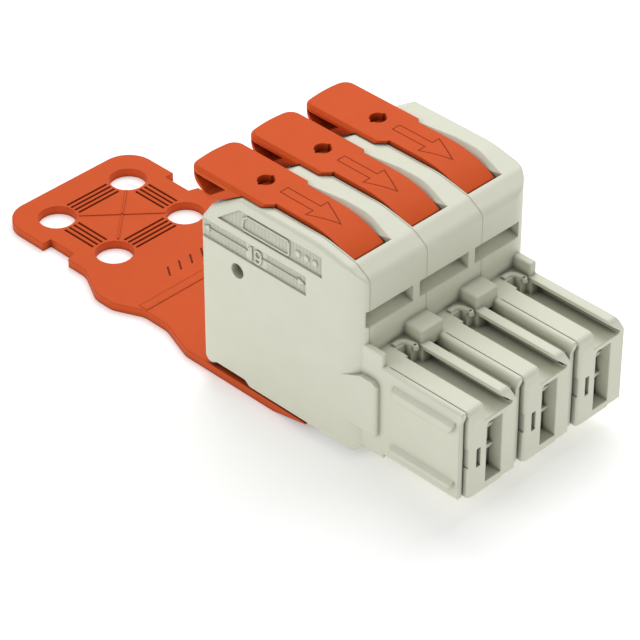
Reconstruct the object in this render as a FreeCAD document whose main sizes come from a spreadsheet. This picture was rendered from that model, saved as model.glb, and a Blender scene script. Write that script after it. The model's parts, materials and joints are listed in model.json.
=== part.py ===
import FreeCAD, Part
import Sketcher
import math
import os
import re

# A pluggable three-pole wire connector with one clamping lever per pole.
#   +X  along the row of poles, from the end cover
#   +Y  towards the wire entries; the plug fingers point to -Y
#   +Z  up
# The frame's origin is the middle of the connector's lowest plane. The sizes
# below count from the end cover's outer face, the ends of the fingers and the
# underside of the housing; place_body moves each body from there to the frame.
# Each pole has a moulded housing that is open on its left side, where the
# right wall of the pole before it, or the end cover, closes it.

POLES = 3
GROOVES = 4

SIZES = {
    # row of poles
    "pitch": 10.16,
    "cover_wall": 1.5,
    # housing outline, seen from the side
    "wall_front": 16.96,
    "wall_rear": 45.8,
    "root_front": 13.6,
    "root_bottom": 1.5,
    "root_top": 13.2,
    "base_front": 18.6,
    "rim_top": 29.5,
    "rim_peak": 38.5,
    "rim_slope_start": 24.8,
    "lip_front": 19.3,
    "lip_top": 28.4,
    "shoulder_rear": 44.0,
    "shoulder_top": 25.9,
    "rear_top": 23.3,
    "heel": 1.0,
    "overrun": 1.0,
    "overlap": 0.2,
    "lip_fillet": 1.5,
    "joint_groove": 0.13,
    "profile_round": 1.0,
    "rim_round": 14.0,
    "cover_round": 0.6,
    "arch_front": 37.5,
    "arch_rear": 43.6,
    "arch_rise": 0.7,
    "lip_round": 1.45,
    "corner_along": 3.9,
    "end_corner_across": 4.0,
    # plug finger
    "finger_bottom": 2.1,
    "finger_top": 15.6,
    "finger_width": 8.69,
    "finger_nose_top": 13.8,
    "finger_nose_back": 0.25,
    "finger_nose_round": 0.8,
    "finger_side_front": 0.85,
    "finger_side_tip": 0.45,
    "finger_side_tip_foot": 14.9,
    "finger_side_wall": 0.75,
    "finger_corner": 1.0,
    "finger_seam": 0.12,
    "finger_seam_rear": 13.4,
    "seam_mouth": 0.28,
    "seam_mouth_depth": 2.5,
    "finger_side_round": 0.45,
    "shoulder_fall": 2.2,
    "channel_left": 2.9,
    "rail_left": 6.05,
    "rail_right": 7.5,
    "rail_wall": 0.5,
    "channel_right": 8.0,
    "channel_bevel": 0.3,
    "channel_depth": 2.5,
    "channel_rear": 13.5,
    "channel_end_left": 3.3,
    "channel_end_right": 4.9,
    "channel_step_rear": 14.4,
    "channel_end_rear": 15.45,
    "corner_notch": 6.35,
    "corner_notch_rise": 0.25,
    # contact chamber in the finger
    "chamber_left": 3.37,
    "chamber_right": 6.22,
    "chamber_bottom": 3.17,
    "chamber_top": 12.45,
    "chamber_rear": 14.2,
    "chamber_bevel": 0.35,
    "shelf_one": 6.6,
    "shelf_two": 9.9,
    "shelf_wall": 0.55,
    "shelf_front": 1.5,
    "shelf_rear": 12.6,
    # small openings in the finger
    "slit_left": 1.6,
    "slit_width": 0.73,
    "slit_bottom": 6.37,
    "slit_rise": 2.9,
    "slit_depth": 1.6,
    "key_bottom": 6.75,
    "key_rise": 2.95,
    "key_width": 0.42,
    "key_depth": 3.0,
    # coding ribs on the side of each finger
    "rib_front": 1.5,
    "rib_rear": 11.9,
    "rib_point": 0.7,
    "rib_high": 13.35,
    "rib_high_foot": 12.2,
    "rib_low": 4.15,
    "rib_low_foot": 3.4,
    "rib_rise": 0.6,
    "rib_proud": 0.6,
    # block at the root of the finger
    "block_left": 6.2,
    "block_front": 14.0,
    "block_top": 17.5,
    "block_round": 0.3,
    "block_end": 7.5,
    "cover_block_left": 0.78,
    # test window above the finger
    "window_right": 7.75,
    "window_end": 7.15,
    "window_left": 8.97,
    "window_bottom": 19.6,
    "window_top": 22.39,
    "window_depth": 2.2,
    "window_slope": 1.1,
    "cover_window": 0.46,
    # lever bay and clamp cavity
    "bay_left": 0.3,
    "bay_right": 6.45,
    "bay_front": 19.85,
    "bay_rear": 34.9,
    "bay_floor": 16.1,
    "scoop_right": 7.75,
    "scoop_foot": 28.3,
    "scoop_turn": 29.0,
    "scoop_rear": 34.6,
    "scoop_climb": 0.8,
    "scoop_narrow": 0.85,
    "gap_width": 0.25,
    "gap_length": 3.2,
    "gap_depth": 3.0,
    "arm_floor": 25.9,
    "cavity_bottom": 6.4,
    "cavity_rear": 35.5,
    "cavity_roof": 17.0,
    "passage_bottom": 7.2,
    "passage_rise": 1.6,
    "passage_left": 0.9,
    "passage_right": 6.3,
    # wire entry
    "entry_across": 4.3,
    "entry_height": 11.9,
    "entry_mouth": 3.9,
    "entry_bore": 3.2,
    "entry_funnel": 4.0,
    # lever
    "pivot_y": 27.2,
    "pivot_z": 25.0,
    "drum": 7.1,
    "trunnion": 2.0,
    "trunnion_reach": 0.75,
    "trunnion_gap": 0.05,
    "lever_left": 0.5,
    "lever_right": 6.25,
    "lever_top": 30.05,
    "crown_start": 28.5,
    "crown": 15.0,
    "crown_spare": 2.0,
    "arm_bottom": 26.2,
    "arm_end": 36.6,
    "head_left": -1.05,
    "head_right": 7.35,
    "head_front": 35.2,
    "head_step": 1.3,
    "head_rear": 48.7,
    "head_under": 29.65,
    "grip_wall": 0.8,
    "grip_front": 38.6,
    "grip_knee": 41.5,
    "grip_knee_foot": 27.75,
    "grip_toe": 44.8,
    "grip_toe_foot": 26.3,
    "grip_heel": 47.3,
    "grip_heel_foot": 28.1,
    "grip_lip": 29.25,
    "vent_rear": 47.6,
    "vent_front": 41.5,
    "vent_foot": 27.0,
    "vent_foot_front": 44.4,
    "vent_foot_rear": 45.3,
    "vent_roof": 29.2,
    "head_corner": 2.0,
    "head_bow": 0.5,
    "lever_edge": 0.45,
    "key_hole": 1.17,
    "key_hole_y": 38.6,
    "key_hole_shift": 0.15,
    "key_hole_notch": 0.24,
    "key_hole_depth": 1.1,
    # side panel details of the end cover
    "panel_depth": 0.25,
    "plate_low": 24.65,
    "plate_high": 27.75,
    "plate_tip": 42.6,
    "plate_shoulder": 38.6,
    "plate_front": 23.9,
    "gauge_low": 20.5,
    "gauge_high": 23.4,
    "gauge_length": 19.0,
    "gauge_front": 26.7,
    "dimple_y": 39.1,
    "dimple_z": 18.05,
    "dimple": 1.1,
    "dimple_depth": 1.25,
    "cheek_front": 14.4,
    "cheek_rear": 20.6,
    "cheek_foot": 4.8,
    "cheek_tip": 11.6,
    "cheek_shoulder": 17.1,
    "cheek_top": 13.1,
    "cheek_corner": 0.6,
    "cheek_round": 0.4,
    # strain relief plate
    "relief_wall": 1.3,
    "relief_drop": 0.1,
    "relief_edge": 0.2,
    "relief_front": 27.0,
    "relief_taper": 33.0,
    "relief_rear": 90.5,
    "relief_tail": 49.6,
    "relief_neck_front": 55.4,
    "relief_neck_rear": 59.9,
    "relief_wing_front": 64.2,
    "relief_wing_rear": 67.6,
    "relief_pad_front": 72.4,
    "relief_root_half": 14.9,
    "relief_neck_half": 12.9,
    "relief_wing_half": 14.9,
    "relief_pad_half": 12.35,
    "relief_corner": 4.2,
    "relief_bend": 3.4,
    "tie_front": 76.0,
    "tie_rear": 81.3,
    "tie_depth": 1.45,
    "tie_slope": 0.5,
    "hole": 2.7,
    "hole_row": 12.0,
    "hole_column": 13.4,
    "hole_centre": 78.7,
    "groove_width": 0.35,
    "groove_step": 0.83,
    "groove_depth": 0.3,
    "groove_across": 7.5,
    "groove_along": 5.9,
    # current bar
    "bar_wall": 1.2,
    "bar_bottom": 7.4,
    "bar_left": 1.1,
    "bar_right": 6.1,
    "bar_rear": 33.5,
    "bar_step": 14.8,
    "tongue_front": 13.5,
    # contact springs
    "blade_wall": 0.4,
    "blade_front": 2.0,
    "blade_waist": 4.2,
    "blade_rear": 12.7,
    "blade_gap": 0.12,
    "blade_pinch": 0.75,
    # clamp spring
    "spring_wall": 0.5,
    "spring_bend": 1.0,
    "spring_width": 4.6,
    "spring_front": 22.0,
    "spring_rear": 32.5,
    "spring_back": 28.5,
    "spring_foot": 8.7,
    "spring_head": 15.3,
}

# The outer edge's foot and top of the two coding ribs on a finger.
RIBS = (("rib_low_foot", "rib_low"), ("rib_high_foot", "rib_high"))

doc = FreeCAD.newDocument("lever_wire_connector")
sheet = doc.addObject("Spreadsheet::Sheet", "dims")
for row, (alias, value) in enumerate(SIZES.items(), start=1):
    sheet.set("A%d" % row, alias)
    sheet.set("B%d" % row, str(value))
    sheet.setAlias("B%d" % row, alias)
doc.recompute()

WORD = re.compile(r"[a-z][a-z_]*")

# How close an edge has to be to a place, and to an axis, to count as on it.
NEAR = 0.02
STRAIGHT = 0.999


def bound(text):
    """An expression over the aliases, as FreeCAD's expression engine reads it."""
    return WORD.sub(lambda found: "dims." + found.group(0), str(text))


def size(text):
    """The number that such an expression stands for."""
    answer = sheet.evalExpression(bound(text))
    return float(getattr(answer, "Value", answer))


def new_body(label):
    body = doc.addObject("PartDesign::Body", label)
    body.Label = label
    return body


def place_body(body, across, up):
    """Sets a body in the frame, whose origin is at the middle of the underside."""
    body.setExpression("Placement.Base.x", bound("(%s) - (cover_wall + %d * pitch) / 2" % (across, POLES)))
    body.setExpression("Placement.Base.y", bound("-relief_rear / 2"))
    body.setExpression("Placement.Base.z", bound("(%s) + relief_wall + relief_drop" % up))


def pole_left(number):
    """Where a pole's own frame starts along the row."""
    return "cover_wall + %d * pitch" % (number - 1)


def plane(body, name):
    for item in body.Origin.OriginFeatures:
        if item.Role == name:
            return item
    raise ValueError(name)


PLANE_OF = {"x": "YZ_Plane", "y": "XZ_Plane", "z": "XY_Plane"}


def new_sketch(body, axis, place):
    """A sketch square to an axis. The XZ plane faces -Y, so its offset is negated."""
    sketch = body.newObject("Sketcher::SketchObject", body.Label + "_sketch")
    sketch.AttachmentSupport = [(plane(body, PLANE_OF[axis]), "")]
    sketch.MapMode = "FlatFace"
    offset = "-(%s)" % bound(place) if axis == "y" else bound(place)
    sketch.setExpression("AttachmentOffset.Base.z", offset)
    return sketch


def fix_point(sketch, curve, end, place):
    for kind, text in zip(("DistanceX", "DistanceY"), place):
        index = sketch.addConstraint(Sketcher.Constraint(kind, -1, 1, curve, end, size(text)))
        sketch.setExpression("Constraints[%d]" % index, bound(text))


def draw_outline(sketch, corners):
    places = [FreeCAD.Vector(size(across), size(up), 0) for across, up in corners]
    count = len(corners)
    for index in range(count):
        sketch.addGeometry(Part.LineSegment(places[index], places[(index + 1) % count]))
    for index in range(count):
        sketch.addConstraint(Sketcher.Constraint("Coincident", index, 2, (index + 1) % count, 1))
        fix_point(sketch, index, 1, corners[index])


def draw_circle(sketch, centre, radius):
    middle = FreeCAD.Vector(size(centre[0]), size(centre[1]), 0)
    curve = sketch.addGeometry(Part.Circle(middle, FreeCAD.Vector(0, 0, 1), size(radius)))
    fix_point(sketch, curve, 3, centre)
    index = sketch.addConstraint(Sketcher.Constraint("Radius", curve, size(radius)))
    sketch.setExpression("Constraints[%d]" % index, bound(radius))


def extrude(body, axis, low, high, draw, cut):
    """Adds, or cuts away, a prism between two places on an axis."""
    forward = (axis != "y") != cut
    sketch = new_sketch(body, axis, low if forward else high)
    draw(sketch)
    kind = "Pocket" if cut else "Pad"
    feature = body.newObject("PartDesign::" + kind, body.Label + "_" + kind.lower())
    feature.Profile = sketch
    feature.setExpression("Length", bound("(%s) - (%s)" % (high, low)))
    body.Tip = feature


def add_outline(body, axis, low, high, corners):
    extrude(body, axis, low, high, lambda sketch: draw_outline(sketch, corners), False)


def cut_outline(body, axis, low, high, corners):
    extrude(body, axis, low, high, lambda sketch: draw_outline(sketch, corners), True)


def add_round(body, axis, low, high, centre, radius):
    extrude(body, axis, low, high, lambda sketch: draw_circle(sketch, centre, radius), False)


def cut_round(body, axis, low, high, centre, radius):
    extrude(body, axis, low, high, lambda sketch: draw_circle(sketch, centre, radius), True)


def cut_taper(body, axis, start, start_corners, end, end_corners):
    """Cuts away the solid that runs straight from one outline to another."""
    sections = []
    for place, corners in ((start, start_corners), (end, end_corners)):
        sketch = new_sketch(body, axis, place)
        draw_outline(sketch, corners)
        sections.append(sketch)
    feature = body.newObject("PartDesign::SubtractiveLoft", body.Label + "_taper")
    feature.Profile = sections[0]
    feature.Sections = sections[1:]
    feature.Ruled = True
    body.Tip = feature


def box(low, high):
    """The corners of a rectangle from its two opposite corners."""
    return [low, (high[0], low[1]), high, (low[0], high[1])]


def round_edges(body, radius, wanted, kind="Fillet"):
    """Rounds, or bevels, the edges of the body that pass the test."""
    doc.recompute()
    base = body.Tip
    edges = enumerate(base.Shape.Edges, start=1)
    names = ["Edge%d" % index for index, edge in edges if wanted(edge)]
    feature = body.newObject("PartDesign::" + kind, body.Label + "_" + kind.lower())
    feature.Base = (base, names)
    feature.setExpression("Radius" if kind == "Fillet" else "Size", bound(radius))
    body.Tip = feature


def along(edge, axis):
    """Whether an edge is a straight line along the given axis."""
    if len(edge.Vertexes) != 2:
        return False
    span = edge.Vertexes[1].Point - edge.Vertexes[0].Point
    return abs(getattr(span, axis)) > STRAIGHT * edge.Length


def near(value, text):
    return abs(value - size(text)) < NEAR


# ---------------------------------------------------------------- housing

HOUSING_SIDE = [
    ("wall_rear", "heel"),
    ("wall_rear", "rear_top"),
    ("shoulder_rear", "shoulder_top"),
    ("rim_peak", "rim_top"),
    ("rim_slope_start", "rim_top"),
    ("lip_front", "lip_top"),
    ("wall_front", "lip_top - lip_round"),
    ("wall_front", "root_bottom"),
    ("base_front", "0"),
    ("arch_front", "0"),
    ("arch_front + arch_rise", "arch_rise"),
    ("arch_rear", "arch_rise"),
    ("wall_rear - heel", "0"),
]


def add_finger_side(body, right):
    """The side wall that closes a finger, with its two coding ribs on the outside."""
    low = "(%s) - finger_side_wall" % right
    corners = [
        ("finger_side_front", "finger_bottom"),
        ("wall_front + overrun", "finger_bottom"),
        ("wall_front + overrun", "finger_top"),
        ("finger_side_tip", "finger_top"),
        ("finger_side_tip", "finger_side_tip_foot"),
        ("finger_side_front", "finger_nose_top"),
    ]
    add_outline(body, "x", low, right, corners)

    def on_top(edge):
        middle = edge.CenterOfMass
        return along(edge, "y") and near(middle.x, low) and near(middle.z, "finger_top")
    round_edges(body, "finger_side_round", on_top)
    for foot, top in RIBS:
        section = [
            ("%s + rib_proud / 2" % low, foot),
            ("%s - rib_proud" % low, foot),
            ("%s - rib_proud" % low, top),
            (low, "%s + rib_rise" % top),
            ("%s + rib_proud / 2" % low, "%s + rib_rise" % top),
        ]
        add_outline(body, "y", "rib_front", "rib_rear", section)
        point = [
            ("rib_front - overrun", "%s - overrun" % foot),
            ("rib_front + rib_point", foot),
            ("rib_front", top),
            ("rib_front", "%s + rib_rise + overrun" % top),
            ("rib_front - overrun", "%s + rib_rise + overrun" % top),
        ]
        cut_outline(body, "x", "%s - rib_proud - overrun" % low, low, point)


def round_profile(body):
    """Rounds the long edges of a housing piece behind its front, and the slope of its rim."""
    def on_profile(edge):
        return along(edge, "x") and edge.CenterOfMass.y > size("arch_front") - NEAR

    def on_rim(edge):
        return along(edge, "x") and near(edge.CenterOfMass.y, "rim_slope_start")
    round_edges(body, "profile_round", on_profile)
    round_edges(body, "rim_round", on_rim)


def round_lip(body):
    """Rounds the top front edge of a housing piece."""
    def on_lip(edge):
        middle = edge.CenterOfMass
        high = middle.z > size("lip_top - lip_round") - NEAR
        front = middle.y < size("lip_front") + NEAR
        return along(edge, "x") and high and front
    round_edges(body, "lip_fillet", on_lip)


def groove_joint(body):
    """Bevels the front of a housing where it meets the piece on its left."""
    def on_joint(edge):
        left = edge.BoundBox.XMax < NEAR
        high = edge.CenterOfMass.z > size("finger_top")
        return left and high and edge.CenterOfMass.y < size("rim_slope_start") + NEAR
    round_edges(body, "joint_groove", on_joint, "Chamfer")


def round_top(body):
    """Rounds the outer edge of the end cover along its top."""
    def on_top(edge):
        middle = edge.CenterOfMass
        rear = middle.y > size("rim_slope_start + overrun")
        return near(middle.x, "0") and middle.z > size("shoulder_top") and rear
    round_edges(body, "cover_round", on_top)


def round_corner(body, edge_place, across, direction):
    """Takes an elliptical sweep off a front vertical corner."""
    sketch = new_sketch(body, "z", "rim_top + overrun")
    edge = size(edge_place)
    wide = direction * size(across)
    front = size("wall_front")
    deep = size("corner_along")
    centre = FreeCAD.Vector(edge + wide, front + deep, 0)
    side = FreeCAD.Vector(edge, front + deep, 0)
    face = FreeCAD.Vector(edge + wide, front, 0)
    if deep > abs(wide):
        ellipse = Part.Ellipse(face, side, centre)
    else:
        ellipse = Part.Ellipse(side, face, centre)
    start = ellipse.parameter(side)
    end = ellipse.parameter(face)
    if (end - start) % (2 * math.pi) > math.pi:
        start, end = end, start
    spare = direction * size("cover_wall")
    past = front - size("cover_wall")
    outer = FreeCAD.Vector(edge - spare, front + deep, 0)
    corner = FreeCAD.Vector(edge - spare, past, 0)
    below = FreeCAD.Vector(edge + wide, past, 0)
    sketch.addGeometry(Part.ArcOfEllipse(ellipse, start, end))
    for first, second in ((side, outer), (outer, corner), (corner, below), (below, face)):
        sketch.addGeometry(Part.LineSegment(first, second))
    pocket = body.newObject("PartDesign::Pocket", body.Label + "_corner")
    pocket.Profile = sketch
    pocket.setExpression("Length", bound("overrun + rim_top + overrun"))
    body.Tip = pocket


def add_cheek(body):
    """The flat pad that stands over the rounded front corner of the end cover."""
    corners = [
        ("cheek_front", "cheek_foot"),
        ("cheek_rear", "cheek_foot"),
        ("cheek_rear", "cheek_tip"),
        ("cheek_shoulder", "cheek_top"),
        ("cheek_front + cheek_corner", "cheek_top"),
        ("cheek_front", "cheek_top - cheek_corner"),
    ]
    add_outline(body, "x", "0", "cover_wall", corners)

    def on_front(edge):
        middle = edge.CenterOfMass
        return along(edge, "z") and near(middle.y, "cheek_front") and near(middle.x, "0")
    round_edges(body, "cheek_round", on_front)


WINDOW = [
    ("wall_front - overrun", "window_bottom"),
    ("wall_front + window_depth", "window_bottom + window_slope"),
    ("wall_front + window_depth", "window_top"),
    ("wall_front - overrun", "window_top"),
]


def round_block(body, left, right):
    """Rounds the free edges of a block above the root of a finger."""
    def on_block(edge):
        middle = edge.CenterOfMass
        ahead = near(middle.y, "block_front") and middle.z > size("finger_top - channel_depth")
        top = near(middle.z, "block_top")
        across = along(edge, "x") and top and ahead
        upright = along(edge, "z") and ahead
        side = along(edge, "y") and top
        free = any(near(middle.x, place) for place in (left, right) if place)
        return across or (free and (upright or side))
    round_edges(body, "block_round", on_block)


def make_cover():
    """End cover: the side wall with its two panels, cheek and first finger side."""
    body = new_body("end_cover")
    add_outline(body, "x", "0", "cover_wall", HOUSING_SIDE)
    round_profile(body)
    round_lip(body)
    round_top(body)
    round_corner(body, "0", "cover_wall", 1)
    root = box(("root_front", "root_bottom"), ("wall_front + overrun", "root_top"))
    add_outline(body, "x", "cover_wall - finger_side_wall", "cover_wall", root)
    add_finger_side(body, "cover_wall")
    block = box(("block_front", "finger_top - overrun"), ("wall_front + overrun", "block_top"))
    add_outline(body, "x", "cover_block_left", "cover_wall", block)
    round_block(body, "cover_block_left", None)
    add_cheek(body)
    cut_outline(body, "x", "cover_wall - cover_window", "cover_wall", WINDOW)
    name_panel = [
        ("plate_front", "plate_low"),
        ("plate_tip", "plate_low"),
        ("plate_shoulder", "plate_high"),
        ("plate_front", "plate_high"),
    ]
    cut_outline(body, "x", "0", "panel_depth", name_panel)
    gauge = box(("gauge_front", "gauge_low"), ("gauge_front + gauge_length + overrun", "gauge_high"))
    cut_outline(body, "x", "0", "panel_depth", gauge)
    cut_round(body, "x", "0", "dimple_depth", ("dimple_y", "dimple_z"), "dimple")
    cut_round(body, "x", "cover_wall - trunnion_reach", "cover_wall",
              ("pivot_y", "pivot_z"), "trunnion + trunnion_gap")
    place_body(body, "0", "0")
    return body


def add_finger(body):
    """The finger of one pole, still solid, with its bevelled nose and sloping shoulder."""
    side = [
        ("0", "finger_bottom"),
        ("wall_front + overrun", "finger_bottom"),
        ("wall_front + overrun", "finger_top"),
        ("finger_nose_back", "finger_top"),
        ("0", "finger_nose_top"),
    ]
    add_outline(body, "x", "0", "finger_width", side)

    def on_nose(edge):
        middle = edge.CenterOfMass
        return along(edge, "x") and near(middle.y, "finger_nose_back")
    round_edges(body, "finger_nose_round", on_nose)
    shoulder = [
        ("rail_right", "finger_top"),
        ("finger_width", "finger_top - shoulder_fall"),
        ("finger_width + overrun", "finger_top - shoulder_fall"),
        ("finger_width + overrun", "finger_top + overrun"),
        ("rail_right", "finger_top + overrun"),
    ]
    cut_outline(body, "y", "-overrun", "wall_front", shoulder)
    channel = [
        ("channel_left", "finger_top - channel_depth"),
        ("channel_right - channel_bevel", "finger_top - channel_depth"),
        ("channel_right", "finger_top - channel_depth + channel_bevel"),
        ("rail_left", "finger_top - rail_wall"),
        ("rail_left", "finger_top + overrun"),
        ("channel_left", "finger_top + overrun"),
    ]
    cut_outline(body, "y", "-overrun", "channel_rear", channel)
    tail = [
        ("channel_end_left", "channel_rear - overrun"),
        ("rail_left", "channel_rear - overrun"),
        ("rail_left", "channel_step_rear"),
        ("channel_end_right", "channel_step_rear"),
        ("channel_end_right", "channel_end_rear"),
        ("channel_end_left", "channel_end_rear"),
    ]
    cut_outline(body, "z", "finger_top - channel_depth", "finger_top + overrun", tail)


def round_nose(body):
    """Softens the front left corner of the finger."""
    def on_corner(edge):
        middle = edge.CenterOfMass
        return along(edge, "z") and near(middle.y, "0") and near(middle.x, "0")
    round_edges(body, "finger_corner", on_corner)


def hollow_finger(body):
    """Cuts the contact chamber and the small openings in the finger."""
    upper_left = "chamber_top - chamber_bevel"
    chamber = [
        ("chamber_left", "chamber_bottom"),
        ("chamber_right", "chamber_bottom"),
        ("chamber_right", "chamber_top"),
        ("chamber_left + chamber_bevel", "chamber_top"),
        ("chamber_left", upper_left),
    ]
    cut_outline(body, "y", "-overrun", "chamber_rear", chamber)
    for shelf in ("shelf_one", "shelf_two"):
        wall = box(("chamber_left - overlap", shelf),
                   ("chamber_right + overlap", shelf + " + shelf_wall"))
        add_outline(body, "y", "shelf_front", "shelf_rear", wall)
    passage = box(("passage_left", "passage_bottom"),
                  ("passage_right", "passage_bottom + passage_rise"))
    cut_outline(body, "y", "chamber_rear - overlap", "bay_front + overrun", passage)
    slit = box(("slit_left", "slit_bottom"), ("slit_left + slit_width", "slit_bottom + slit_rise"))
    cut_outline(body, "y", "-overrun", "slit_depth", slit)
    key = box(("-overrun", "key_bottom"), ("key_width", "key_bottom + key_rise"))
    cut_outline(body, "y", "-overrun", "key_depth", key)
    notch = box(("corner_notch", "0"), ("finger_width + overrun", "finger_bottom + corner_notch_rise"))
    cut_outline(body, "y", "-overrun", "slit_depth", notch)
    seam = box(("-overrun", "0"), ("finger_seam", "finger_top + overrun"))
    cut_outline(body, "y", "-overrun", "finger_seam_rear", seam)
    mouth = box(("-overrun", "0"), ("seam_mouth", "finger_side_tip_foot"))
    cut_outline(body, "y", "-overrun", "seam_mouth_depth", mouth)


def scoop_section(foot, right):
    """Section of the sloping relief along the right edge of the lever bay."""
    return [
        ("bay_right - overlap", foot),
        ("bay_right", foot),
        (right, "rim_top"),
        (right, "rim_top + overrun"),
        ("bay_right - overlap", "rim_top + overrun"),
    ]


def hollow_upper(body, last):
    """Cuts the lever bay, clamp cavity, trunnion holes, test window and wire entry."""
    bay = box(("bay_left", "bay_floor"), ("bay_right", "rim_top + overrun"))
    cut_outline(body, "y", "bay_front", "bay_rear", bay)
    arm = box(("bay_left", "arm_floor"), ("bay_right", "rim_top + overrun"))
    cut_outline(body, "y", "bay_rear - overrun", "wall_rear + overrun", arm)
    cavity = box(("bay_left", "cavity_bottom"), ("bay_right", "cavity_roof"))
    cut_outline(body, "y", "bay_front", "cavity_rear", cavity)
    scoop = scoop_section("scoop_foot", "scoop_right")
    cut_outline(body, "y", "bay_front", "scoop_turn", scoop)
    cut_taper(body, "y", "scoop_turn", scoop,
              "scoop_rear", scoop_section("scoop_foot + scoop_climb", "scoop_right - scoop_narrow"))
    gap = [
        ("bay_right - overlap", "bay_front"),
        ("bay_right + gap_width", "bay_front"),
        ("bay_right - overlap", "bay_front + gap_length"),
    ]
    cut_outline(body, "z", "scoop_foot - gap_depth", "rim_top + overrun", gap)
    pivot = ("pivot_y", "pivot_z")
    cut_round(body, "x", "-overrun", "bay_right + trunnion_reach", pivot, "trunnion + trunnion_gap")
    cut_outline(body, "x", "-overrun", "window_end" if last else "window_right", WINDOW)
    if not last:
        cut_outline(body, "x", "window_left", "pitch + overrun", WINDOW)
        cut_round(body, "x", "pitch - trunnion_reach", "pitch + overrun", pivot,
                  "trunnion + trunnion_gap")
    cut_round(body, "y", "cavity_rear - overrun", "wall_rear + overrun",
              ("entry_across", "entry_height"), "entry_bore")
    funnel_entry(body)


def funnel_entry(body):
    """The tapered mouth of the wire entry, cut by turning its section."""
    sketch = new_sketch(body, "z", "entry_height")
    corners = [
        ("entry_across", "wall_rear + overlap"),
        ("entry_across + entry_mouth", "wall_rear + overlap"),
        ("entry_across + entry_mouth", "wall_rear"),
        ("entry_across + entry_bore", "wall_rear - entry_funnel"),
        ("entry_across", "wall_rear - entry_funnel"),
    ]
    draw_outline(sketch, corners)
    groove = body.newObject("PartDesign::Groove", body.Label + "_funnel")
    groove.Profile = sketch
    axis = sketch.addGeometry(Part.LineSegment(FreeCAD.Vector(0, 0, 0), FreeCAD.Vector(0, 1, 0)), True)
    fix_point(sketch, axis, 1, ("entry_across", "wall_rear - entry_funnel"))
    fix_point(sketch, axis, 2, ("entry_across", "wall_rear + overrun"))
    groove.ReferenceAxis = (sketch, ["Axis0"])
    groove.Angle = 360
    body.Tip = groove


def make_housing(number):
    """One pole's housing: solid outline, finger, then every hollow."""
    last = number == POLES
    body = new_body("pole_housing_%d" % number)
    add_outline(body, "x", "0", "pitch", HOUSING_SIDE)
    round_profile(body)
    round_lip(body)
    groove_joint(body)
    if last:
        round_corner(body, "pitch", "end_corner_across", -1)
    add_finger(body)
    if not last:
        add_finger_side(body, "pitch")
    block_right = "block_end" if last else "pitch"
    block = box(("block_front", "finger_top - overrun"), ("wall_front + overrun", "block_top"))
    add_outline(body, "x", "block_left", block_right, block)
    round_block(body, "block_left", block_right if last else None)
    round_nose(body)
    hollow_finger(body)
    hollow_upper(body, last)
    place_body(body, pole_left(number), "0")
    return body


# ---------------------------------------------------------------- lever

def crown_lever(body):
    """Cuts the top of the arm to its crown, which falls in an arc towards the front."""
    start = size("crown_start")
    top = size("lever_top")
    radius = size("crown")
    centre = FreeCAD.Vector(start, top - radius, 0)
    reach = size("crown_start - pivot_y + drum + crown_spare")
    drop = math.sqrt(radius ** 2 - reach ** 2)
    half = math.sqrt(radius ** 2 - (reach / 2) ** 2)
    above = size("pivot_z + drum + overrun")
    far = FreeCAD.Vector(size("arm_end"), top, 0)
    tangent = FreeCAD.Vector(start, top, 0)
    middle = centre + FreeCAD.Vector(-reach / 2, half, 0)
    low = centre + FreeCAD.Vector(-reach, drop, 0)
    high = FreeCAD.Vector(low.x, above, 0)
    corner = FreeCAD.Vector(far.x, above, 0)
    sketch = new_sketch(body, "x", "lever_left - overrun")
    sketch.addGeometry(Part.LineSegment(far, tangent))
    sketch.addGeometry(Part.Arc(tangent, middle, low))
    for first, second in ((low, high), (high, corner), (corner, far)):
        sketch.addGeometry(Part.LineSegment(first, second))
    pocket = body.newObject("PartDesign::Pocket", body.Label + "_crown")
    pocket.Profile = sketch
    pocket.Reversed = True
    pocket.setExpression("Length", bound("overrun + lever_right - lever_left + overrun"))
    body.Tip = pocket


def bow_rear(body):
    """Cuts the rear edge of the head to a shallow outward arc."""
    left = size("head_left")
    right = size("head_right")
    back = size("head_rear")
    side = size("head_rear - head_bow")
    spare = size("overrun")
    start = FreeCAD.Vector(left, side, 0)
    end = FreeCAD.Vector(right, side, 0)
    outline = [
        end,
        FreeCAD.Vector(right + spare, side, 0),
        FreeCAD.Vector(right + spare, back + spare, 0),
        FreeCAD.Vector(left - spare, back + spare, 0),
        FreeCAD.Vector(left - spare, side, 0),
        start,
    ]
    sketch = new_sketch(body, "z", "lever_top + overrun")
    sketch.addGeometry(Part.Arc(start, FreeCAD.Vector((left + right) / 2, back, 0), end))
    for first, second in zip(outline, outline[1:]):
        sketch.addGeometry(Part.LineSegment(first, second))
    pocket = body.newObject("PartDesign::Pocket", body.Label + "_bow")
    pocket.Profile = sketch
    pocket.setExpression("Length", bound("overrun + lever_top - grip_toe_foot + overrun"))
    body.Tip = pocket


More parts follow.
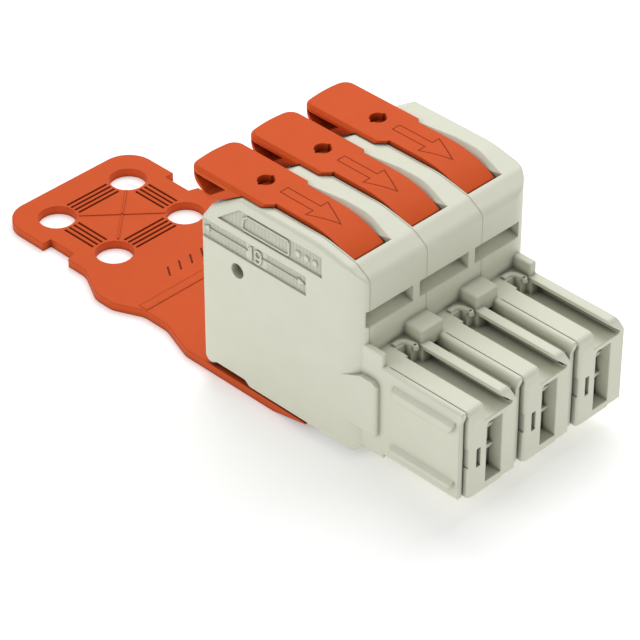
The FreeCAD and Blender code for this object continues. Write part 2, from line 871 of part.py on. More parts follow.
def make_lever(number):
    """One lever: drum and trunnions in the bay, arm, and behind it a grip with a side pocket."""
    body = new_body("lever_%d" % number)
    pivot = ("pivot_y", "pivot_z")
    add_round(body, "x", "lever_left", "lever_right", pivot, "drum")
    arm = [
        ("pivot_y", "arm_bottom"),
        ("arm_end", "arm_bottom"),
        ("grip_front + overrun", "head_under - overrun"),
        ("grip_front + overrun", "lever_top"),
        ("pivot_y", "lever_top"),
    ]
    add_outline(body, "x", "lever_left", "lever_right", arm)
    crown_lever(body)
    head = [
        ("head_front", "head_under"),
        ("grip_front", "head_under"),
        ("grip_knee", "grip_knee_foot"),
        ("grip_toe", "grip_toe_foot"),
        ("grip_heel", "grip_heel_foot"),
        ("head_rear", "grip_lip"),
        ("head_rear", "lever_top"),
        ("head_front", "lever_top"),
    ]
    add_outline(body, "x", "head_left", "head_right", head)
    flank = [
        ("head_left", "head_front"),
        ("head_left + head_step", "head_front - head_step"),
        ("head_right - head_step", "head_front - head_step"),
        ("head_right", "head_front"),
    ]
    add_outline(body, "z", "head_under", "lever_top", flank)

    bow_rear(body)

    def on_corner(edge):
        return along(edge, "z") and near(edge.CenterOfMass.y, "head_rear - head_bow")
    round_edges(body, "head_corner", on_corner)

    def on_top(edge):
        box_of = edge.BoundBox
        flat = box_of.ZMin > size("lever_top") - NEAR
        return flat and edge.CenterOfMass.y > size("head_front") + NEAR
    round_edges(body, "lever_edge", on_top, "Chamfer")
    vent = [
        ("vent_rear", "vent_roof"),
        ("vent_front", "vent_roof"),
        ("vent_foot_front", "vent_foot"),
        ("vent_foot_rear", "vent_foot"),
    ]
    cut_outline(body, "x", "head_left - overrun", "head_right - grip_wall", vent)
    add_round(body, "x", "lever_left - trunnion_reach - bay_left", "lever_right + trunnion_reach",
              pivot, "trunnion")
    middle = "(head_left + head_right) / 2 + key_hole_shift"
    floor = "lever_top - key_hole_depth"
    cut_round(body, "z", floor, "lever_top + overrun", (middle, "key_hole_y"), "key_hole")
    for turn in (-1, 1):
        notch = ("%s + (%d) * key_hole" % (middle, turn), "key_hole_y")
        cut_round(body, "z", floor, "lever_top + overrun", notch, "key_hole_notch")
    place_body(body, pole_left(number), "0")
    return body


# ---------------------------------------------------------------- strain relief

def make_relief():
    """Strain relief plate: root under the housing, waisted neck, and pad with four holes."""
    body = new_body("strain_relief_plate")
    half = [
        ("relief_root_half", "relief_front"),
        ("relief_root_half", "relief_tail"),
        ("relief_neck_half", "relief_neck_front"),
        ("relief_neck_half", "relief_neck_rear"),
        ("relief_wing_half", "relief_wing_front"),
        ("relief_wing_half", "relief_wing_rear"),
        ("relief_pad_half", "relief_pad_front"),
        ("relief_pad_half", "tie_front"),
        ("relief_pad_half - tie_depth", "tie_front + tie_slope"),
        ("relief_pad_half - tie_depth", "tie_rear"),
        ("relief_pad_half", "tie_rear"),
        ("relief_pad_half", "relief_rear"),
    ]
    other = [("-(%s)" % across, along_y) for across, along_y in reversed(half)]
    add_outline(body, "z", "0", "relief_wall", half + other)
    bends = ("relief_tail", "relief_neck_front", "relief_neck_rear",
             "relief_wing_front", "relief_wing_rear", "relief_pad_front")

    def on_bend(edge):
        middle = edge.CenterOfMass
        return along(edge, "z") and any(near(middle.y, place) for place in bends)

    def on_corner(edge):
        return along(edge, "z") and near(edge.CenterOfMass.y, "relief_rear")
    round_edges(body, "relief_bend", on_bend)
    round_edges(body, "relief_corner", on_corner)
    taper = [
        ("relief_front - overrun", "-overrun"),
        ("relief_taper", "-overrun"),
        ("relief_taper", "0"),
        ("relief_front", "relief_wall - relief_edge"),
        ("relief_front - overrun", "relief_wall - relief_edge"),
    ]
    cut_outline(body, "x", "-relief_root_half - overrun", "relief_root_half + overrun", taper)
    for right in (-1, 1):
        for rear in (-1, 1):
            place = ("(%d) * hole_column / 2" % right, "hole_centre + (%d) * hole_row / 2" % rear)
            cut_round(body, "z", "-overrun", "relief_wall + overrun", place, "hole")
    cut_grooves(body)
    middle_lever = "cover_wall + pitch + (lever_left + lever_right) / 2"
    place_body(body, middle_lever, "-relief_wall - relief_drop")
    return body


def cut_grooves(body):
    """Four grip grooves along each side of the square of holes."""
    floor = "relief_wall - groove_depth"
    top = "relief_wall + overrun"
    for side in (-1, 1):
        for line in range(GROOVES):
            shift = "(%s) * groove_step" % (line - (GROOVES - 1) / 2)
            place = "hole_centre + (%d) * hole_row / 2 + %s" % (side, shift)
            row = box(("-groove_across / 2", "%s - groove_width / 2" % place),
                      ("groove_across / 2", "%s + groove_width / 2" % place))
            cut_outline(body, "z", floor, top, row)
            place = "(%d) * hole_column / 2 + %s" % (side, shift)
            column = box(("%s - groove_width / 2" % place, "hole_centre - groove_along / 2"),
                         ("%s + groove_width / 2" % place, "hole_centre + groove_along / 2"))
            cut_outline(body, "z", floor, top, column)


# ---------------------------------------------------------------- metal parts

def make_bar(number):
    """Current bar from the clamp to the contact chamber."""
    body = new_body("current_bar_%d" % number)
    corners = [
        ("bar_left", "bar_rear"),
        ("bar_left", "bar_step"),
        ("chamber_left + blade_gap", "bar_step"),
        ("chamber_left + blade_gap", "tongue_front"),
        ("bar_right", "tongue_front"),
        ("bar_right", "bar_rear"),
    ]
    add_outline(body, "z", "bar_bottom", "bar_bottom + bar_wall", corners)
    place_body(body, pole_left(number), "0")
    return body


def make_blades(number, side):
    """One half of the fork contact: a stem with a sprung blade in each chamber bay."""
    name = "left" if side < 0 else "right"
    body = new_body("contact_spring_%s_%d" % (name, number))
    if side < 0:
        wall = "chamber_left + blade_gap"
        turn = "1"
    else:
        wall = "chamber_right - blade_gap"
        turn = "-1"
    bays = (
        ("chamber_bottom + blade_gap", "shelf_one - blade_gap"),
        ("shelf_one + shelf_wall + blade_gap", "shelf_two - blade_gap"),
        ("shelf_two + shelf_wall + blade_gap", "chamber_top - chamber_bevel - blade_gap"),
    )
    inner = "%s + (%s) * blade_wall" % (wall, turn)
    stem = [
        (wall, "blade_rear"),
        (wall, "tongue_front - blade_gap / 2"),
        (inner, "tongue_front - blade_gap / 2"),
        (inner, "blade_rear"),
    ]
    add_outline(body, "z", bays[0][0], bays[2][1], stem)
    blade = [
        (wall, "blade_rear + blade_gap"),
        (wall, "(blade_rear + blade_waist) / 2"),
        ("%s + (%s) * blade_pinch" % (wall, turn), "blade_waist"),
        (wall, "blade_front"),
        (inner, "blade_front"),
        ("%s + (%s) * blade_pinch" % (inner, turn), "blade_waist"),
        (inner, "(blade_rear + blade_waist) / 2"),
        (inner, "blade_rear + blade_gap"),
    ]
    for foot, top in bays:
        add_outline(body, "z", foot, top, blade)
    place_body(body, pole_left(number), "0")
    return body


def make_clamp(number):
    """Clamp spring: a leaf that lies on the current bar and turns back over itself."""
    body = new_body("clamp_spring_%d" % number)
    outer = [
        ("spring_rear", "spring_foot"),
        ("spring_rear", "spring_foot + spring_wall"),
        ("spring_front + spring_wall", "spring_foot + spring_wall"),
        ("spring_front + spring_wall", "spring_head - spring_wall"),
        ("spring_back", "spring_head - spring_wall"),
        ("spring_back + spring_wall", "spring_head"),
        ("spring_front", "spring_head"),
        ("spring_front", "spring_foot"),
    ]
    middle = "(bay_left + bay_right) / 2"
    add_outline(body, "x", "%s - spring_width / 2" % middle, "%s + spring_width / 2" % middle, outer)

    def on_turn(edge):
        return along(edge, "x") and near(edge.CenterOfMass.y, "spring_front")
    round_edges(body, "spring_bend", on_turn)
    place_body(body, pole_left(number), "0")
    return body


parts = [make_cover(), make_relief()]
for pole in range(1, POLES + 1):
    parts.append(make_housing(pole))
    parts.append(make_lever(pole))
    parts.append(make_bar(pole))
    parts.append(make_clamp(pole))
    parts.append(make_blades(pole, -1))
    parts.append(make_blades(pole, 1))
doc.recompute()

for item in doc.Objects:
    if "Invalid" in item.State or "Error" in item.State:
        raise RuntimeError("%s: %s" % (item.Label, item.State))
for item in parts:
    if item.Shape.isNull() or not item.Shape.isValid():
        raise RuntimeError(item.Label + " has no valid shape")
    if len(item.Shape.Solids) != 1:
        raise RuntimeError(item.Label + " is not one solid")

os.makedirs("parts", exist_ok=True)
for item in parts:
    item.Shape.exportStep("parts/%s.step" % item.Label)
    bounds = item.Shape.BoundBox
    print("%-26s volume %8.1f mm3   X %6.2f %6.2f  Y %6.2f %6.2f  Z %6.2f %6.2f" % (
        item.Label, item.Shape.Volume, bounds.XMin, bounds.XMax,
        bounds.YMin, bounds.YMax, bounds.ZMin, bounds.ZMax))
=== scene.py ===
import json
import math

import bmesh
import bpy
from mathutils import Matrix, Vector

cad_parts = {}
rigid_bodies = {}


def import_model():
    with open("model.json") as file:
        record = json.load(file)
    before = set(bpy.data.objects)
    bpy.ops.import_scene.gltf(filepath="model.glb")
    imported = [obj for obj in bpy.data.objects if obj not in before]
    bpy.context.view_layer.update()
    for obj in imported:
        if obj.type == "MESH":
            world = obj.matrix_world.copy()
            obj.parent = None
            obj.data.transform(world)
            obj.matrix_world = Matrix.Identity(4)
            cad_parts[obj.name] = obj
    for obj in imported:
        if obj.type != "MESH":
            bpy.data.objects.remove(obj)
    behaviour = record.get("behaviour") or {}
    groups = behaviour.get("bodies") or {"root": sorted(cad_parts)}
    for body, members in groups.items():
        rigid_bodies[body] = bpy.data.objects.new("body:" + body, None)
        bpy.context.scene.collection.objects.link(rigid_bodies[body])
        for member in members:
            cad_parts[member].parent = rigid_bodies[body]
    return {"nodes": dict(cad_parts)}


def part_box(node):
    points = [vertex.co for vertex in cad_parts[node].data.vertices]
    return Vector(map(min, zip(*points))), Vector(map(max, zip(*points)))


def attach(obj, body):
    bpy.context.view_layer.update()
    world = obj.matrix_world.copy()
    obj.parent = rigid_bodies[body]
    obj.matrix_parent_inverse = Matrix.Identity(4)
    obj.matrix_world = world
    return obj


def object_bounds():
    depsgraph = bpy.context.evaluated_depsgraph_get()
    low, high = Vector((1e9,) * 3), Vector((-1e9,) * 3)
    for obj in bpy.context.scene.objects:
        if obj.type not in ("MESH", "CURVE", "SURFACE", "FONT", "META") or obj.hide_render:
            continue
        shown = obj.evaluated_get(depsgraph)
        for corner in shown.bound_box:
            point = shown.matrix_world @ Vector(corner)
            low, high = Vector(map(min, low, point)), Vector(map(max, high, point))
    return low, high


MM = 0.001
POLES = 3
PITCH = 10.16
COVER_WALL = 1.5

for item in list(bpy.data.objects):
    bpy.data.objects.remove(item)

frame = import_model()
cad_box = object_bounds()
nodes = frame["nodes"]
scene = bpy.context.scene

# Lengths below are in millimetres from the end cover's outer face, the ends of
# the fingers and the underside of the housing; at() turns them into the frame.
ORIGIN = Vector((
    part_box("end_cover")[0].x,
    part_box("pole_housing_1")[0].y,
    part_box("pole_housing_1")[0].z,
))


def at(x, y, z):
    return ORIGIN + Vector((x, y, z)) * MM


# ---------------------------------------------------------------- camera and light

AZIMUTH = math.radians(-45.06)
ELEVATION = math.radians(36.635)
CAMERA_PLACE = (-230.3, -205.64, 260.02)
FOCAL_LENGTH = 182.1
SENSOR_WIDTH = 36.0

# Lights: name, place and size of the disk in metres, power in watts.
LIGHTS = (
    ("key", (0.30, 0.16, 0.50), 0.60, 2.4),
    ("side", (-0.45, 0.16, 0.36), 0.35, 0.5),
)
WORLD_STRENGTH = 0.43

FLOOR_SIZE = 3.0
FLOOR_DROP = 0.05
FLOOR_GREY = 0.93
FLOOR_ROUGHNESS = 0.9
FLOOR_GLOW = 0.32


def aim(thing, direction):
    thing.rotation_mode = "QUATERNION"
    thing.rotation_quaternion = direction.to_track_quat("-Z", "Y")


def make_camera():
    data = bpy.data.cameras.new("camera")
    data.lens = FOCAL_LENGTH
    data.sensor_width = SENSOR_WIDTH
    data.clip_start = 0.01
    data.clip_end = 20.0
    camera = bpy.data.objects.new("camera", data)
    scene.collection.objects.link(camera)
    camera.location = at(*CAMERA_PLACE)
    aim(camera, Vector((
        -math.sin(AZIMUTH) * math.cos(ELEVATION),
        math.cos(AZIMUTH) * math.cos(ELEVATION),
        -math.sin(ELEVATION),
    )))
    scene.camera = camera


def area_light(name, place, size, power):
    """A round lamp that points at the middle of the object."""
    data = bpy.data.lights.new(name, "AREA")
    data.shape = "DISK"
    data.size = size
    data.energy = power
    lamp = bpy.data.objects.new(name, data)
    scene.collection.objects.link(lamp)
    lamp.location = place
    aim(lamp, (cad_box[0] + cad_box[1]) / 2 - lamp.location)


def make_world():
    world = bpy.data.worlds.new("studio")
    scene.world = world
    world.use_nodes = True
    background = world.node_tree.nodes["Background"]
    background.inputs["Color"].default_value = (1, 1, 1, 1)
    background.inputs["Strength"].default_value = WORLD_STRENGTH


def make_floor():
    mesh = bpy.data.meshes.new("floor")
    shape = bmesh.new()
    bmesh.ops.create_grid(shape, x_segments=1, y_segments=1, size=FLOOR_SIZE)
    shape.to_mesh(mesh)
    shape.free()
    floor = bpy.data.objects.new("floor", mesh)
    scene.collection.objects.link(floor)
    floor.location = (0, 0, cad_box[0].z - FLOOR_DROP * MM)
    look = bpy.data.materials.new("floor")
    look.use_nodes = True
    shader = look.node_tree.nodes["Principled BSDF"]
    shader.inputs["Base Color"].default_value = (FLOOR_GREY, FLOOR_GREY, FLOOR_GREY, 1)
    shader.inputs["Roughness"].default_value = FLOOR_ROUGHNESS
    shader.inputs["Emission Color"].default_value = (1, 1, 1, 1)
    shader.inputs["Emission Strength"].default_value = FLOOR_GLOW
    mesh.materials.append(look)


make_camera()
scene.view_settings.view_transform = "Standard"
for light in LIGHTS:
    area_light(*light)
make_world()
make_floor()


# ---------------------------------------------------------------- materials

# Noise cells per metre: the mottling of the colour, and the fine grain.
MOTTLE_SCALE = 260.0
MOTTLE_DETAIL = 3.0
GRAIN_SCALE = 5200.0
GRAIN_DETAIL = 2.0
GRAIN_STRENGTH = 0.25
GRAIN_DEPTH = 0.02
NOISE_LOW = 0.3
NOISE_HIGH = 0.7

# Roughness varies by this much below and above its middle value.
SMOOTHER = 0.05
ROUGHER = 0.06

# Edges: their radius, which also bounds the painted highlight along them, and how far a normal
# leans where that painted highlight is full and where it ends.
EDGE_RADIUS = 0.28
EDGE_HIGHLIGHT_FULL = 0.80
EDGE_FLAT = 0.99

# Painted shade, multiplied into the colour, in inner corners, crevices and deep hollows: the
# reach of each, the openness at its darkest and at its lightest, and the factor at its darkest.
SHADES = (
    (1.0, 0.35, 0.95, 0.62),
    (2.5, 0.05, 0.55, 0.40),
    (9.0, 0.02, 0.12, 0.42),
)


def add_node(tree, kind, **settings):
    node = tree.nodes.new(kind)
    for name, value in settings.items():
        setattr(node, name, value)
    return node


def noise(tree, place, scale, detail):
    node = add_node(tree, "ShaderNodeTexNoise")
    node.inputs["Scale"].default_value = scale
    node.inputs["Detail"].default_value = detail
    tree.links.new(place, node.inputs["Vector"])
    return node.outputs["Fac"]


def remap(tree, value, low, high, to_low, to_high):
    node = add_node(tree, "ShaderNodeMapRange")
    numbers = {"From Min": low, "From Max": high, "To Min": to_low, "To Max": to_high}
    for name, number in numbers.items():
        node.inputs[name].default_value = number
    tree.links.new(value, node.inputs["Value"])
    return node.outputs["Result"]


def mix(tree, kind, amount, first, second):
    """Blends two colours; each input is either a socket or a plain value."""
    node = add_node(tree, "ShaderNodeMix", data_type="RGBA", blend_type=kind)
    for socket, value in (("Factor_Float", amount), ("A_Color", first), ("B_Color", second)):
        port = next(entry for entry in node.inputs if entry.identifier == socket)
        if isinstance(value, bpy.types.NodeSocket):
            tree.links.new(value, port)
        else:
            port.default_value = value
    return next(entry for entry in node.outputs if entry.identifier == "Result_Color")


def finish_look(name, colour, shade, rough, edge_highlight=0.3, metal=0.0, shine=0.3):
    """A solid material: mottled colour, painted shade in crevices, a painted highlight along the
    edges, fine grain.
    """
    look = bpy.data.materials.new(name)
    look.use_nodes = True
    tree = look.node_tree
    shader = tree.nodes["Principled BSDF"]
    shader.inputs["Metallic"].default_value = metal
    shader.inputs["Specular IOR Level"].default_value = shine
    place = add_node(tree, "ShaderNodeTexCoord").outputs["Object"]

    mottle = noise(tree, place, MOTTLE_SCALE, MOTTLE_DETAIL)
    cloud = remap(tree, mottle, NOISE_LOW, NOISE_HIGH, 0.0, 1.0)
    base = mix(tree, "MIX", cloud, (*colour, 1), (*shade, 1))

    soft = add_node(tree, "ShaderNodeBevel", samples=6)
    soft.inputs["Radius"].default_value = EDGE_RADIUS * MM
    flat = add_node(tree, "ShaderNodeNewGeometry")
    turn = add_node(tree, "ShaderNodeVectorMath", operation="DOT_PRODUCT")
    tree.links.new(soft.outputs["Normal"], turn.inputs[0])
    tree.links.new(flat.outputs["Normal"], turn.inputs[1])
    # Painted highlight: a lighter copy of the colour laid along the edges.
    painted_highlight = remap(tree, turn.outputs["Value"], EDGE_HIGHLIGHT_FULL, EDGE_FLAT, edge_highlight, 0.0)
    light = tuple(min(1.0, channel * 1.25 + 0.03) for channel in colour)
    base = mix(tree, "MIX", painted_highlight, base, (*light, 1))

    # Painted shade: each stage darkens the colour where the surface is sheltered.
    for reach, darkest, lightest, factor in SHADES:
        shelter = add_node(tree, "ShaderNodeAmbientOcclusion", samples=8)
        shelter.inputs["Distance"].default_value = reach * MM
        painted_shade = remap(tree, shelter.outputs["AO"], darkest, lightest, factor, 1.0)
        base = mix(tree, "MULTIPLY", 1.0, base, painted_shade)
    tree.links.new(base, shader.inputs["Base Color"])

    grain = noise(tree, place, GRAIN_SCALE, GRAIN_DETAIL)
    roughness = remap(tree, grain, NOISE_LOW, NOISE_HIGH, rough - SMOOTHER, rough + ROUGHER)
    tree.links.new(roughness, shader.inputs["Roughness"])
    bump = add_node(tree, "ShaderNodeBump")
    bump.inputs["Strength"].default_value = GRAIN_STRENGTH
    bump.inputs["Distance"].default_value = GRAIN_DEPTH * MM
    tree.links.new(grain, bump.inputs["Height"])
    tree.links.new(soft.outputs["Normal"], bump.inputs["Normal"])
    tree.links.new(bump.outputs["Normal"], shader.inputs["Normal"])
    return look


# The orange parts get a weaker painted highlight along their edges and are less glossy than the
# housing.
ORANGE = {"edge_highlight": 0.12, "shine": 0.10}
LINE = {"edge_highlight": 0.0, "shine": 0.10}

looks = {
    "housing": finish_look(
        "housing_plastic", (0.77, 0.775, 0.64), (0.75, 0.755, 0.62), 0.45),
    "lever": finish_look(
        "lever_plastic", (0.73, 0.104, 0.020), (0.70, 0.099, 0.019), 0.55, **ORANGE),
    "relief": finish_look(
        "relief_plastic", (0.70, 0.104, 0.023), (0.67, 0.099, 0.022), 0.55, **ORANGE),
    "copper": finish_look(
        "bar_metal", (0.72, 0.68, 0.62), (0.66, 0.62, 0.56), 0.32, metal=0.9),
    # The contact metal's tone is painted dark: painted shade for the insides of the sockets.
    "contact": finish_look(
        "contact_metal", (0.30, 0.29, 0.26), (0.24, 0.23, 0.21), 0.35, metal=0.8),
    "steel": finish_look(
        "steel_metal", (0.6, 0.6, 0.6), (0.52, 0.52, 0.53), 0.3, metal=1.0),
}
# Painted shade: a darker copy of the lever's orange for the engraved arrow.
engraved_lever_shade = finish_look(
    "lever_line", (0.46, 0.055, 0.010), (0.42, 0.05, 0.010), 0.6, **LINE)
# Painted shade: a darker copy of the plate's orange for the recessed dashes.
engraved_relief_shade = finish_look(
    "relief_line", (0.24, 0.030, 0.008), (0.20, 0.026, 0.008), 0.6, **LINE)
hatched = finish_look(
    "housing_hatch", (0.73, 0.735, 0.61), (0.71, 0.715, 0.59), 0.5, edge_highlight=0.1)

for node in nodes.values():
    for place in node.material_slots:
        place.material = looks[place.material.name.split(".")[0]]


# ---------------------------------------------------------------- surfaces with details

PANEL_FLOOR = 0.25
PLATE_TOP = -0.1
FINGER_TOP = 15.6
FINGER_CORNER = 2.35
LEVER_TOP = 30.05
LEVER_ARC_REAR = 28.5
LEVER_ARC_RADIUS = 15.0


def pole_left(number):
    return COVER_WALL + PITCH * (number - 1)


def on_cover(along, up, height):
    """A place on the floor of the cover's two panels; height points out of it."""
    return at(PANEL_FLOOR - height, along, up)


def on_plate(across, along, height):
    """A place on the top of the strain relief plate."""
    return at(across, along, PLATE_TOP + height)


def on_finger(number):
    """The top of a finger."""
    def place(across, along, height):
        return at(pole_left(number) + across, along, FINGER_TOP + height)
    return place


def under_finger(number):
    """The raised corner of a finger's underside; height points down from it."""
    def place(across, along, height):
        return at(pole_left(number) + across, along, FINGER_CORNER - height)
    return place


def on_lever(number):
    """The top of a lever: flat at the rear, falling in an arc towards the front."""
    def place(across, along, height):
        ahead = max(0.0, LEVER_ARC_REAR - along)
        fall = LEVER_ARC_RADIUS - math.sqrt(LEVER_ARC_RADIUS ** 2 - ahead ** 2)
        return at(pole_left(number) + across, along, LEVER_TOP - fall + height)
    return place


# ---------------------------------------------------------------- raised and sunk shapes

RIBBON_STEP = 0.8
TURN_LIMIT = 0.5
RIBBON_SIDE = 0.38
SINK = 0.08
HATCH_STEP = 0.25
HATCH_RISE = 0.014
HATCH_SINK = 0.02


def make_piece(name, shape, body, look):
    """Turns built-up geometry into a piece that moves with one of the bodies."""
    bmesh.ops.recalc_face_normals(shape, faces=shape.faces)
    mesh = bpy.data.meshes.new(name)
    shape.to_mesh(mesh)
    shape.free()
    mesh.materials.append(look)
    piece = bpy.data.objects.new(name, mesh)
    scene.collection.objects.link(piece)
    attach(piece, body)


def refine(path, step, closed):
    """Adds points to a path, so that it follows a curved surface."""
    full = []
    count = len(path)
    for index in range(count if closed else count - 1):
        start = Vector(path[index])
        end = Vector(path[(index + 1) % count])
        parts = max(1, math.ceil((end - start).length / step))
        full += [start.lerp(end, part / parts) for part in range(parts)]
    if not closed:
        full.append(Vector(path[-1]))
    return full


def add_ribbon(shape, surface, path, width, rise, closed=False, sink=SINK):
    """A thin raised band along a path on a surface, with sloping sides."""
    path = refine(path, RIBBON_STEP, closed)
    count = len(path)
    profile = ((-0.5, -sink), (-RIBBON_SIDE, rise), (RIBBON_SIDE, rise), (0.5, -sink))
    sections = []
    for index, point in enumerate(path):
        ways = []
        if closed or index > 0:
            ways.append((point - path[index - 1]).normalized())
        if closed or index < count - 1:
            ways.append((path[(index + 1) % count] - point).normalized())
        sides = [Vector((-way.y, way.x)) for way in ways]
        side = sum(sides, Vector((0, 0))).normalized()
        side = side / max(TURN_LIMIT, side.dot(sides[0]))
        corners = []
        for reach, height in profile:
            spot = point + side * width * reach
            corners.append(shape.verts.new(surface(spot.x, spot.y, height)))
        sections.append(corners)
    for index in range(count if closed else count - 1):
        first = sections[index]
        second = sections[(index + 1) % count]
        for corner in range(len(profile)):
            following = (corner + 1) % len(profile)
            shape.faces.new((first[corner], first[following], second[following], second[corner]))
    if not closed:
        shape.faces.new(sections[0])
        shape.faces.new(list(reversed(sections[-1])))


def add_tile(shape, surface, corners, rise, slope=0.06, sink=SINK):
    """A low raised tile with sloping sides, from the corners of its outline."""
    middle = sum((Vector(corner) for corner in corners), Vector((0, 0))) / len(corners)
    foot = []
    top = []
    for corner in corners:
        inner = Vector(corner) + (middle - Vector(corner)).normalized() * slope
        foot.append(shape.verts.new(surface(corner[0], corner[1], -sink)))
        top.append(shape.verts.new(surface(inner.x, inner.y, rise)))
    shape.faces.new(top)
    shape.faces.new(list(reversed(foot)))
    count = len(corners)
    for index in range(count):
        following = (index + 1) % count
        shape.faces.new((foot[index], foot[following], top[following], top[index]))


def ring(centre, radius, count=20, squash=1.0):
    """Points around a circle, or around an ellipse when squash isn't 1."""
    turns = [2 * math.pi * index / count for index in range(count)]
    return [(centre[0] + radius * math.cos(turn), centre[1] + squash * radius * math.sin(turn))
            for turn in turns]


def add_hatch(shape, surface, start, end, low, high_at):
    """Fine upright ridges side by side over the floor of a panel."""
    for index in range(int((end - start) / HATCH_STEP)):
        left = start + index * HATCH_STEP
        right = left + HATCH_STEP
        middle = (left + right) / 2
        rows = []
        for along, height in ((left, -HATCH_SINK), (middle, HATCH_RISE), (right, -HATCH_SINK)):
            rows.append([shape.verts.new(surface(along, low, height)),
                         shape.verts.new(surface(along, high_at(along), height))])
        for first, second in ((0, 1), (1, 2), (2, 0)):
            shape.faces.new((rows[first][0], rows[first][1], rows[second][1], rows[second][0]))
        shape.faces.new([row[0] for row in rows])
        shape.faces.new([row[1] for row in reversed(rows)])


# ---------------------------------------------------------------- marks on the end cover

MARK_RISE = 0.2
DIGIT_RISE = 0.22

GAUGE_FOOT = 20.55
GAUGE_HEAD = 23.35
GAUGE_SPANS = ((26.75, 34.2), (37.6, 45.75))
GAUGE_ARROWHEADS = (
    [(45.4, 22.1), (44.2, 22.6), (44.2, 21.6)],
    [(26.9, 22.1), (28.2, 21.6), (28.2, 22.6)],
)
GAUGE_SHAFTS = ([(44.3, 22.1), (37.4, 22.1)], [(34.5, 22.1), (28.1, 22.1)])
SHAFT_WIDTH = 0.22

DIGIT_ONE = [(37.1, 22.45), (36.55, 22.95), (36.55, 20.95)]
DIGIT_ONE_WIDTH = 0.36
DIGIT_NINE_BOWL = ring((35.35, 22.35), 0.55, 16, 1.05)
DIGIT_NINE_TAIL = [(34.8, 22.2), (34.83, 21.6), (35.1, 21.05), (35.6, 20.98), (35.85, 21.25)]
DIGIT_NINE_WIDTH = 0.34
# The tail's top lies just under the bowl's, so that the two don't coincide.
DIGIT_TAIL_RISE = 0.21

LABEL_FRONT = 23.95
LABEL_REAR = 42.2
LABEL_FOOT = 24.7
LABEL_HEAD = 27.7
# The panel's top falls to its foot towards this point, 3 in every 4 along.
LABEL_POINT = 42.45
LABEL_FALL = 3.0 / 4.0
FIELD = [(38.2, 25.3), (37.9, 25.05), (30.1, 25.05), (29.8, 25.3), (29.8, 27.0),
         (30.1, 27.25), (37.2, 27.25), (37.9, 26.7)]
FIELD_WIDTH = 0.3
STUDS = 3
STUD_FIRST = (28.2, 26.15)
STUD_SPACING = 1.5
STUD_RADIUS = 0.5
STUD_SLOPE = 0.08


def make_gauge():
    """Strip gauge: hatched floor, a double arrow, and its length in digits."""
    hatch = bmesh.new()
    for start, end in GAUGE_SPANS:
        add_hatch(hatch, on_cover, start, end, GAUGE_FOOT, lambda along: GAUGE_HEAD)
    make_piece("gauge_hatch", hatch, "connector", hatched)

    marks = bmesh.new()
    for corners in GAUGE_ARROWHEADS:
        add_tile(marks, on_cover, corners, MARK_RISE)
    for path in GAUGE_SHAFTS:
        add_ribbon(marks, on_cover, path, SHAFT_WIDTH, MARK_RISE)
    add_ribbon(marks, on_cover, DIGIT_ONE, DIGIT_ONE_WIDTH, DIGIT_RISE)
    add_ribbon(marks, on_cover, DIGIT_NINE_BOWL, DIGIT_NINE_WIDTH, DIGIT_RISE, closed=True)
    add_ribbon(marks, on_cover, DIGIT_NINE_TAIL, DIGIT_NINE_WIDTH, DIGIT_TAIL_RISE)
    make_piece("gauge_marks", marks, "connector", looks["housing"])


def label_head(along):
    return min(LABEL_HEAD, LABEL_FOOT + LABEL_FALL * (LABEL_POINT - along))


def make_label():
    """Blank label field: hatched floor, an empty raised frame and round studs."""
    hatch = bmesh.new()
    add_hatch(hatch, on_cover, LABEL_FRONT, LABEL_REAR, LABEL_FOOT, label_head)
    make_piece("label_hatch", hatch, "connector", hatched)

    label = bmesh.new()
    add_ribbon(label, on_cover, FIELD, FIELD_WIDTH, MARK_RISE, closed=True)
    for stud in range(STUDS):
        centre = (STUD_FIRST[0] - STUD_SPACING * stud, STUD_FIRST[1])
        add_tile(label, on_cover, ring(centre, STUD_RADIUS), MARK_RISE, slope=STUD_SLOPE)
    make_piece("label_field", label, "connector", looks["housing"])


make_gauge()
make_label()


# ---------------------------------------------------------------- details of each pole

# Lift arrow in the top of a lever, drawn as a thin dark line: painted shade in place of an
# engraved groove.
ARROW = [(2.7, 35.4), (2.7, 29.6), (1.45, 29.6), (3.38, 25.4), (5.3, 29.6), (4.05, 29.6),
         (4.05, 35.4)]
ARROW_WIDTH = 0.2
LINE_SINK = 0.03
ARROW_RISE = 0.012

# Raised rim and peg around the rear end of the slot in a finger.
RIM = [(5.5, 14.1), (5.35, 14.9), (5.2, 15.5), (4.85, 15.95), (4.3, 16.15), (3.4, 16.1)]
RIM_WIDTH = 0.85
RIM_RISE = 0.3
PEG = ring((5.3, 14.0), 0.42, 12)
PEG_SINK = 0.3

# Small round foot under the right front corner of a finger.
FOOT = ring((8.0, 0.5), 0.36, 12)
FOOT_RISE = 0.38
FOOT_SINK = 0.1
ROUND_SLOPE = 0.1

for number in range(1, POLES + 1):
    arrow = bmesh.new()
    add_ribbon(arrow, on_lever(number), ARROW, ARROW_WIDTH, ARROW_RISE,
               closed=True, sink=LINE_SINK)
    make_piece("lever_arrow_%d" % number, arrow, "lever_body_%d" % number,
               engraved_lever_shade)

for number in range(1, POLES + 1):
    rim = bmesh.new()
    add_ribbon(rim, on_finger(number), RIM, RIM_WIDTH, RIM_RISE)
    add_tile(rim, on_finger(number), PEG, RIM_RISE, slope=ROUND_SLOPE, sink=PEG_SINK)
    make_piece("slot_rim_%d" % number, rim, "connector", looks["housing"])

for number in range(1, POLES + 1):
    foot = bmesh.new()
    add_tile(foot, under_finger(number), FOOT, FOOT_RISE, slope=ROUND_SLOPE, sink=FOOT_SINK)
    make_piece("finger_foot_%d" % number, foot, "connector", looks["housing"])


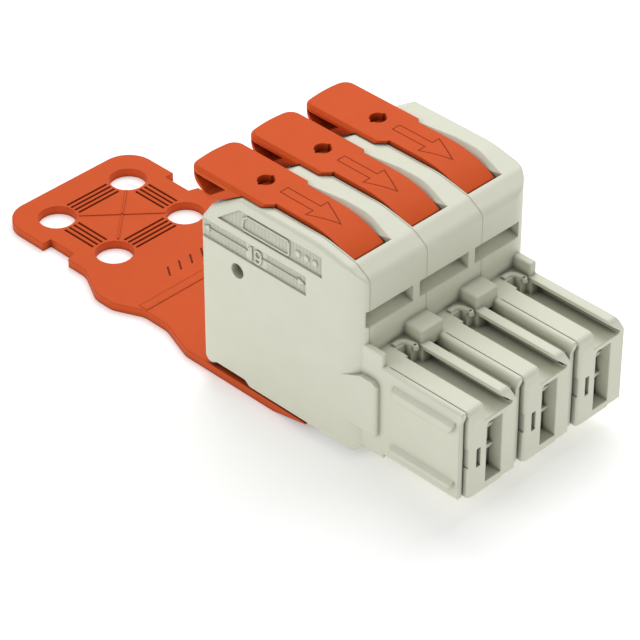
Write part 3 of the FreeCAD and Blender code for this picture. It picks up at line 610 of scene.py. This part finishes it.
# ---------------------------------------------------------------- strain relief plate

RIDGES = ([(10.8, 82.8), (19.8, 74.8)], [(19.7, 82.8), (10.8, 74.7)])
RIDGE_WIDTH = 0.34
RIDGE_RISE = 0.12

BEND_LEFT = 2.3
BEND_RIGHT = 27.8
BEND_PLACE = 60.3
BEND_HALF = 0.9
BEND_RISE = 0.05
BEND_SINK = 0.01
BEND_FACETS = 8

DASHES = 5
DASH_LEFT = 10.0
DASH_SPACING = 2.1
DASH_LEAN = 1.2
DASH_FRONT = 63.2
DASH_REAR = 65.0
DASH_WIDTH = 0.35
DASH_RISE = 0.01


def make_ridges():
    """Crossed ridges between the four holes."""
    ridges = bmesh.new()
    for path in RIDGES:
        add_ribbon(ridges, on_plate, path, RIDGE_WIDTH, RIDGE_RISE)
    make_piece("relief_ridges", ridges, "connector", looks["relief"])


def make_bend():
    """A low rounded bead across the plate, where it bends before its pad."""
    bend = bmesh.new()
    rows = []
    for step in range(BEND_FACETS + 1):
        turn = math.pi * step / BEND_FACETS
        along = BEND_PLACE + BEND_HALF * math.cos(turn)
        height = BEND_RISE * math.sin(turn) - BEND_SINK
        rows.append([bend.verts.new(on_plate(BEND_LEFT, along, height)),
                     bend.verts.new(on_plate(BEND_RIGHT, along, height))])
    for first, second in zip(rows, rows[1:]):
        bend.faces.new((first[0], first[1], second[1], second[0]))
    bend.faces.new([row[0] for row in rows])
    bend.faces.new([row[1] for row in reversed(rows)])
    bend.faces.new((rows[0][0], rows[0][1], rows[-1][1], rows[-1][0]))
    make_piece("relief_bend", bend, "connector", looks["relief"])


def make_dashes():
    """A row of slanted dashes, dark with painted shade in place of recesses."""
    dashes = bmesh.new()
    for index in range(DASHES):
        left = DASH_LEFT + DASH_SPACING * index
        path = [(left, DASH_FRONT), (left + DASH_LEAN, DASH_REAR)]
        add_ribbon(dashes, on_plate, path, DASH_WIDTH, DASH_RISE, sink=LINE_SINK)
    make_piece("relief_dashes", dashes, "connector", engraved_relief_shade)


make_ridges()
make_bend()
make_dashes()
